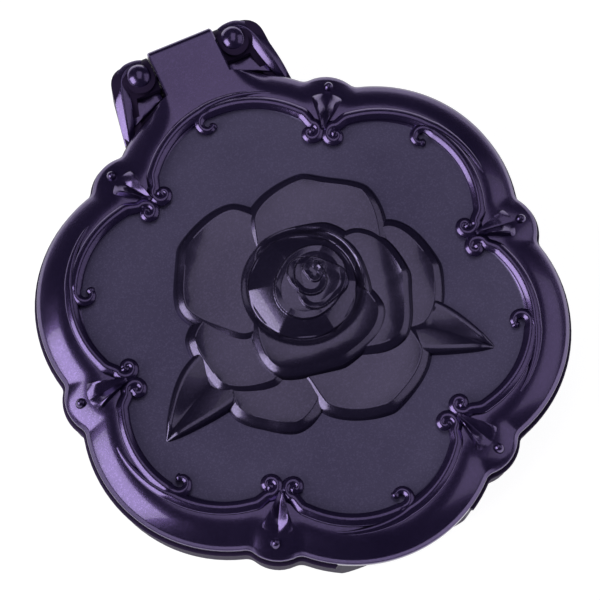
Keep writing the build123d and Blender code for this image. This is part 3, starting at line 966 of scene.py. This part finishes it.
def leaf(tip_x, tip_y, sweep, half, above, root_reach=8.0, rise=1.45, count=60):
    """A pointed leaf from near the centre of the rose to its tip."""
    tip = np.array([tip_x, tip_y])
    reach = np.linalg.norm(tip)
    way = tip / reach
    side = np.array([-way[1], way[0]])
    top = 41                         # points across the top of a section
    spread = np.concatenate([np.linspace(-1, 1, top), np.linspace(1, -1, 9)[1:-1]])
    rings = []
    for t in np.linspace(0.002, 0.998, count):
        wide = half * math.sin(math.pi * t**0.78) ** 0.85 * (1 - 0.15 * t) + 0.02
        middle = way * between((root_reach, reach), t) + side * sweep * math.sin(math.pi * t)
        plan = middle + side * (spread * wide)[:, None]
        over = np.clip(1 - (1 - np.abs(spread)) * wide / 1.1, 0, 1)
        fold = rise * (0.28 + 0.72 * np.abs(spread) ** 0.8) * min(1.0, 9 * (1 - t))
        height = fold - 0.45 * over * np.minimum(1.0, fold) - (fold * 0.6 + 0.3) * over**5
        section = points(*plan.T, SUNK)
        section[:top, 2] = FIELD + tucked(plan, height, above)[:top]
        rings.append(section)
    return loft("leaf", rings, RELIEF)


# %% Lay the rose
PETALS = [
    # x, y, length, width, direction, lip, floor, points
    (13.0, -1.2, 15.6, 18.5, -5, 1.15, 0.62, 5),
    (-7.4, -8.2, 16.0, 16.0, 235, 1.15, 0.62, 5),
    (4.6, -9.2, 20.0, 19.5, 282, 1.30, 0.72, 6),
    (-8.8, -1.2, 17.6, 16.6, 194, 1.35, 0.78, 6),
    (-6.2, 8.4, 19.0, 20.8, 142, 1.60, 0.95, 6),
    (6.4, 9.2, 18.6, 21.0, 64, 1.70, 1.05, 6),
    (3.3, 4.6, 14.8, 17.0, 70, 1.95, 1.15, 4),
    (8.6, -1.4, 15.0, 20.0, -14, 2.05, 1.10, 5),
    (3.2, 2.4, 16.2, 17.8, -10, 2.05, 0.90, 3),
    (0.8, -3.2, 15.0, 20.6, 270, 2.20, 1.10, 5),
]


def lay_rose():
    names = ("x", "y", "length", "width", "direction", "lip", "floor", "points")
    forms = [dict(zip(names, row), phase=1.7 * k, way=math.radians(row[4])) for k, row in enumerate(PETALS)]
    made = [leaf(-25.6, -10.4, -1.4, 5.2, forms), leaf(22.9, -16.4, 1.0, 4.7, forms)]
    for k, form in enumerate(forms):
        made.append(petal(form, forms[k + 1:]))
    return joined("rose_petals", made)


for piece in (lay_rose(), bud()):
    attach(piece, "lid")

# %% [markdown]
# ## Finishes on the CAD parts
# The turned and pressed parts are already right in shape, so they keep their CAD meshes and only
# get their finishes.

# %% Dress the CAD parts
DRESS = {
    # The base shell wears the satin lower case, whose darker colour is painted shade.
    "base_shell": SHADED_LOWER_CASE, "base_label": LABEL, "hinge_pin": STEEL, "inner_tray": TRAY,
    "pan_adhesive": TAPE, "powder_pan": PAN, "powder_guard": CLEAR,
    "lid_inner_frame": TRAY, "mirror_adhesive": TAPE, "mirror_glass": MIRROR,
}
for name, finish in DRESS.items():
    mesh = nodes[name].data
    mesh.materials.clear()
    mesh.materials.append(finish)
print("dressed", len(DRESS), "CAD parts")

# %% [markdown]
# ## The hinge ears
# Each ear of the hinge is edged with a raised band. It climbs from the rim along the outer edge
# and turns round the end of the ear. Its section is a roof with two even slopes, so that it
# catches the light as one broad stripe, which a round cord would not.


# %% Loft the ear bands
ROOF = [(-1, -0.9), (-1, 0.0), (-0.93, 0.10), (-0.5, 0.50), (-0.14, 0.86), (0, 0.93),
        (0.14, 0.86), (0.5, 0.50), (0.93, 0.10), (1, 0.0), (1, -0.9)]


def roof_rings(path):
    """Roof-shaped sections along a path of (x, y, z, half width)."""
    path = np.array(path)
    way = np.gradient(path[:, :2], axis=0)
    way = way / np.linalg.norm(way, axis=1)[:, None]
    u, v = np.array(ROOF).T
    rings = []
    for (x, y, z, half), (a, b) in zip(path, way):
        rings.append(points(x + half * u * b, y - half * u * a, z + 0.62 * half * v))
    return rings


BAND = [
    # x, y, z and half width on the right-hand ear
    (12.5, 34.0, 8.4, 0.70), (11.9, 36.2, 9.5, 1.00), (11.3, 38.6, 10.2, 1.15), (10.7, 41.0, 10.7, 1.15),
    (9.9, 42.9, 10.8, 1.08), (8.7, 44.0, 10.7, 0.98), (7.4, 44.3, 10.5, 0.88), (6.2, 44.2, 10.3, 0.76),
]


def ear_bands():
    made = []
    for side in (1, -1):
        path = [(side * x, y, z, half) for x, y, z, half in smooth_path(BAND)]
        made.append(loft("band", roof_rings(path), CASE))
    return joined("hinge_bands", made)


bands = ear_bands()
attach(bands, "base")

# %% [markdown]
# Inside the band sits a round boss over the pin, and a flat gusset fills the corner by the rim.
# Both are glossy, and the ear behind them wears the satin lower case, whose darker colour is painted shade,
# so the hollows between them stay dark.


# %% Bosses and gussets
def plate_rings(corners, low, high, edge=0.22, steps=9):
    """Rings of a flat plate with a rounded upper edge. The corners go round it once."""
    corners = np.array(corners)
    middle = corners.mean(axis=0)
    line = np.vstack([a + (b - a) * t for a, b in zip(corners, np.roll(corners, -1, axis=0))
                      for t in np.linspace(0, 1, steps, endpoint=False)[:, None]])
    way = (middle - line) / np.linalg.norm(middle - line, axis=1)[:, None]
    levels = ((0, low), (0, high - edge), (0.3 * edge, high - 0.3 * edge), (edge, high), (1.2, high))
    return [points(*(line + way * inset).T, z) for inset, z in levels]


BOSS_X, BOSS_Y = 7.45, 42.3
GUSSET = [(5.4, 38.5), (8.6, 37.1), (10.9, 36.0), (10.2, 39.0), (9.4, 40.2), (5.4, 39.9)]


def ear_details():
    made = []
    for side in (-1, 1):
        boss = drop_rings(side * BOSS_X, BOSS_Y, (9.6, 12.4), 4.7, 4.5, math.radians(60 * side), 40)
        made.append(loft("boss", boss, CASE))
        made.append(loft("gusset", plate_rings([(side * x, y) for x, y in GUSSET], 7.6, 9.3), CASE))
    return joined("hinge_details", made)


details = ear_details()
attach(details, "base")

# %% [markdown]
# A saddle ties the two ears together in front of the barrel and under it, and closes the gap that
# would show between the case and the strap. Its back follows the barrel with a little air.


# %% Hinge saddle
SADDLE_HALF = 5.6


def saddle_section(front=37.6, top=8.2, low=4.6, air=3.12):
    """The saddle's side view, as the y and z of its points."""
    bend = np.radians(np.arange(-176, -99, 7))
    y = np.concatenate([[front, front, front + 0.3], hinge.y + air * np.cos(bend), [hinge.y - 0.5]])
    z = np.concatenate([[low, top - 0.3, top], hinge.z + air * np.sin(bend), [low]])
    return y, z


slices = [points(x, *saddle_section()) for x in np.linspace(-SADDLE_HALF, SADDLE_HALF, 9)]
# The saddle wears the satin lower case, whose darker colour is painted shade in the hollow under the strap.
saddle = loft("hinge_saddle", slices, SHADED_LOWER_CASE)
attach(saddle, "base")

# %% [markdown]
# ## The powder
# Pressed powder carries the mark of its die: here a plain six-lobed border, a ring of flutes and a
# small star. It is one loft whose heights come from a formula, so the pattern stays crisp.


# %% Emboss the powder
def powder_rings():
    low, high = (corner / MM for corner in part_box("powder_cake"))
    turn = round_angles(720)
    rim = high.x

    def ridge(off, width):
        return np.exp(-((off / width) ** 2))

    def level(reach):
        border = ridge(reach - 26.2, 0.55)
        vine = ridge(reach - (20.2 + 2.2 * np.abs(np.cos(3 * turn))), 0.5)
        flutes = 0.5 + 0.5 * np.cos(36 * turn)
        flutes = flutes * np.clip((reach - 9.0) / 1.5, 0, 1) * np.clip((17.5 - reach) / 1.5, 0, 1)
        star = 7.4 * (0.62 + 0.38 * np.cos(6 * turn))
        star = 1 / (1 + np.exp(np.clip((reach - star) / 0.18, -40, 40)))
        relief = np.maximum(np.maximum(border, vine), np.maximum(0.55 * flutes, 0.8 * star))
        return high.z - 0.42 + 0.34 * relief

    def put(reach, z):
        return points(reach * np.cos(turn), reach * np.sin(turn), z)

    rings = [put(0.0, low.z), put(rim - 0.1, low.z), put(rim, low.z + 0.1), put(rim, high.z - 0.55)]
    for reach in np.concatenate([[rim - 0.15], np.arange(rim - 0.5, 0.4, -0.26), [0.0]]):
        rings.append(put(reach, level(reach)))
    return rings


powder = loft("pressed_powder", powder_rings(), POWDER, ends=False)
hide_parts("powder_cake")
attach(powder, "base")

# %% [markdown]
# ## The puff
# The puff is a thin foam pad with a satin back and a velour face, held together by a rolled
# binding. It is soft, so it is a crowned, closed form: the satin pulls in towards the seam in
# small puckers, and the velour bulges a little below it. A ribbon to slip the fingers under is
# sewn in at both sides.


# %% Cushion and velour face
PUCKERS = 54                         # round the seam


def puff_form(name, heights, reaches, finish, pucker_depth, softness):
    """A closed pad: rings from the middle of its underside, over its edge, to the middle of its top."""
    turn = round_angles(360)
    rings = []
    for z, reach in zip(heights, reaches):
        pull = pucker_depth * (reach / max(reaches)) ** 10 * np.cos(PUCKERS * turn)
        soft = softness * (np.sin(3.1 * reach / 9 + 2 * np.sin(2 * turn)) * np.cos(3 * turn + reach / 7))
        swell = reach + pull * 0.6
        height = z + pull + soft * min(1.0, reach / 6)
        rings.append(points(swell * np.cos(turn), swell * np.sin(turn), height))
    return loft(name, rings, finish, ends=False)


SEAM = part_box("puff_foam_core")[0].z / MM + 0.95
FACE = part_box("puff_velour_face")[0].z / MM
satin_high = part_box("puff_satin_top")[1] / MM
REACH = satin_high.x
CROWN = satin_high.z - SEAM + 0.06

bends = np.linspace(0, math.pi / 2, 16)
crown_reach = [0.0, REACH - 1.2, REACH - 0.35, *REACH * np.cos(bends) ** 0.36]
crown_z = [SEAM - 0.5, SEAM - 0.5, SEAM - 0.3, *SEAM + CROWN * np.sin(bends) ** 0.8]
crown_reach[-1] = 0.0
cushion = puff_form("puff_cushion", crown_z, crown_reach, SATIN, 0.09, 0.05)
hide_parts("puff_satin_top", "puff_foam_core")
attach(cushion, "base")

bends = bends[1::3]
face_reach = [0.0, *np.linspace(4, REACH - 2.5, 9), *REACH - 1.4 + 1.2 * np.sin(bends), REACH - 0.6, 0.0]
face_z = [FACE + 0.03] * 10 + [*FACE + 0.1 + 0.9 * (1 - np.cos(bends)), SEAM - 0.35, SEAM - 0.35]
velour = puff_form("puff_velour", face_z, face_reach, VELOUR, 0.03, 0.015)
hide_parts("puff_velour_face")
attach(velour, "base")


# %% Binding with its stitches
def stitch_tree():
    """Sew stitches at even steps along a curve."""
    tree, (path, count, length, width, finish) = new_group(
        "stitches", Count="Int", Stitch_length="Float", Stitch_width="Float")
    dots = tree.tree.nodes.new("GeometryNodeCurveToPoints")
    tree.tree.links.new(path.socket, dots.inputs["Curve"])
    tree.tree.links.new(count.socket, dots.inputs["Count"])
    bead = tree.node("GeometryNodeMeshUVSphere", {"Segments": 8, "Rings": 5, "Radius": 0.5})
    size = tree.node("ShaderNodeCombineXYZ", {"X": width, "Y": width, "Z": length})
    values = {"Points": Wire(tree, dots.outputs["Points"]), "Instance": bead, "Scale": size,
              "Rotation": Wire(tree, dots.outputs["Rotation"])}
    return end_group(tree, tree.node("GeometryNodeInstanceOnPoints", values), finish)


def ring_curve(name, reach, height, radius, count=240):
    path = [(*turned(reach, 0, angle), height, radius) for angle in round_angles(count)]
    return curve_object(name, [path], closed=True)


binding = grow("puff_binding", ring_curve("binding_path", REACH + 0.1, SEAM, 0.46), SWEEP,
               Copies=1, Section_width=1.0, Section_height=1.0, Finish=RIBBON)
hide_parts("puff_edge_binding")
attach(binding, "base")

stitches = grow("puff_stitches", ring_curve("stitch_path", REACH - 0.75, SEAM + 0.62, 1.0), stitch_tree(),
                Count=120, Stitch_length=0.95 * MM, Stitch_width=0.28 * MM, Finish=RIBBON)
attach(stitches, "base")


# %% Ribbon
def ribbon_rings(half_length, half_width, thickness, count=90):
    """Sections across the ribbon, from end to end. Its edges are thicker, as a woven edge is."""
    across = np.linspace(-1, 1, 13)
    rings = []
    for t in np.linspace(-1, 1, count):
        bow = 1 - t * t
        arch = satin_high.z + 0.10 + 0.10 * bow - 1.45 * abs(t) ** 14
        ripple = 0.03 * math.sin(9 * t + 1.0) * across
        top = arch + thickness + 0.03 * np.abs(across) ** 8 + ripple
        upper = points(half_length * t, half_width * across * (1 - 0.05 * bow), top)
        rings.append(np.vstack([upper, upper[::-1] - (0, 0, thickness)]))
    return rings


ribbon = loft("puff_ribbon_strap", ribbon_rings(REACH - 0.3, 5.0, 0.16), RIBBON, sharp=60)
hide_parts("puff_ribbon")
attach(ribbon, "base")

# %% [markdown]
# ## Floor, light and camera
# A pale floor, a softbox low on the left, one above, a weak one on the right, and a dim violet
# sky. Gloss shows the shape of the lights, so the box on the left draws the long highlights on
# every slope that faces left, while slopes that face the viewer stay deep violet. The floor glows
# a little, as a white table under studio flash does.


# %% Floor
def floor_finish():
    finish = Finish("pale_floor")
    colour = finish.blend(finish.noise(30, 3), (0.30, 0.30, 0.30), (0.32, 0.32, 0.32))
    return finish.close(
        Base_Color=colour, Roughness=0.8, Emission_Color=(1, 1, 1, 1), Emission_Strength=0.94)


bpy.ops.mesh.primitive_grid_add(x_subdivisions=4, y_subdivisions=4, size=6)
floor = bpy.context.object
floor.name = "floor"
floor.data.materials.append(floor_finish())
floor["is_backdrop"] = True


# %% Camera
def camera_axes(azimuth, elevation):
    """Right, up and back of a level camera. Azimuth turns it from the front towards +X."""
    a, e = math.radians(azimuth), math.radians(elevation)
    back = Vector((math.sin(a) * math.cos(e), -math.cos(a) * math.cos(e), math.sin(e)))
    right = Vector((math.cos(a), math.sin(a), 0))
    return right, back.cross(right), back


RIGHT, UP, BACK = camera_axes(-23.7, 72.7)
DISTANCE, ASIDE, ABOVE = 0.462, -0.000386, 0.002216
lens = bpy.data.cameras.new("camera")
lens.lens = 194
lens.sensor_width = 36
lens.clip_start = 0.01
camera = placed("camera", lens)
bpy.context.scene.camera = camera
spot = Vector((0, 0, PARTING * MM)) + BACK * DISTANCE + RIGHT * ASIDE + UP * ABOVE
axes = Matrix((RIGHT, UP, BACK)).transposed()
camera.matrix_world = Matrix.Translation(spot) @ axes.to_4x4()
print("camera at", [round(c, 4) for c in spot])


# %% Lights
LEVEL_UP = Vector((UP.x, UP.y, 0)).normalized()


def softbox(name, turn_from_left, elevation, distance, width, height, power):
    """A soft light. Its turn goes from the camera's left towards its own side, in degrees."""
    a, e = math.radians(turn_from_left), math.radians(elevation)
    level = -RIGHT * math.cos(a) - LEVEL_UP * math.sin(a)
    way = level * math.cos(e) + Vector((0, 0, math.sin(e)))
    light = bpy.data.lights.new(name, "AREA")
    light.shape = "RECTANGLE"
    light.size = width
    light.size_y = height
    light.energy = power
    made = placed(name, light)
    made.location = way.normalized() * distance
    made.rotation_euler = (-way).to_track_quat("-Z", "Y").to_euler()
    print(f"{name}: {power} W at {[round(c, 2) for c in made.location]}")


softbox("softbox_left", 22, 31, 0.62, 0.50, 0.40, 2.45)
softbox("softbox_above", -90, 74, 0.95, 0.55, 1.00, 1.1)
softbox("softbox_right", -172, 32, 0.80, 0.80, 0.55, 0.75)

world = bpy.data.worlds.new("studio")
bpy.context.scene.world = world
world.use_nodes = True
sky = world.node_tree.nodes["Background"].inputs
sky["Color"].default_value = (0.62, 0.55, 1.0, 1)
sky["Strength"].default_value = 0.075
bpy.context.scene.view_settings.view_transform = "Standard"

# %% [markdown]
# ## The sizes
# The boxes of the CAD model and of the visual model are printed in millimetres. The visual
# model may not grow past the CAD model.

# %% Print the sizes
visual_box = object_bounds()
sizes = {"cad": [list(corner) for corner in cad_box], "visual": [list(corner) for corner in visual_box]}
for label, (low, high) in sizes.items():
    print(label, [round((b - a) / MM, 2) for a, b in zip(low, high)], "mm")
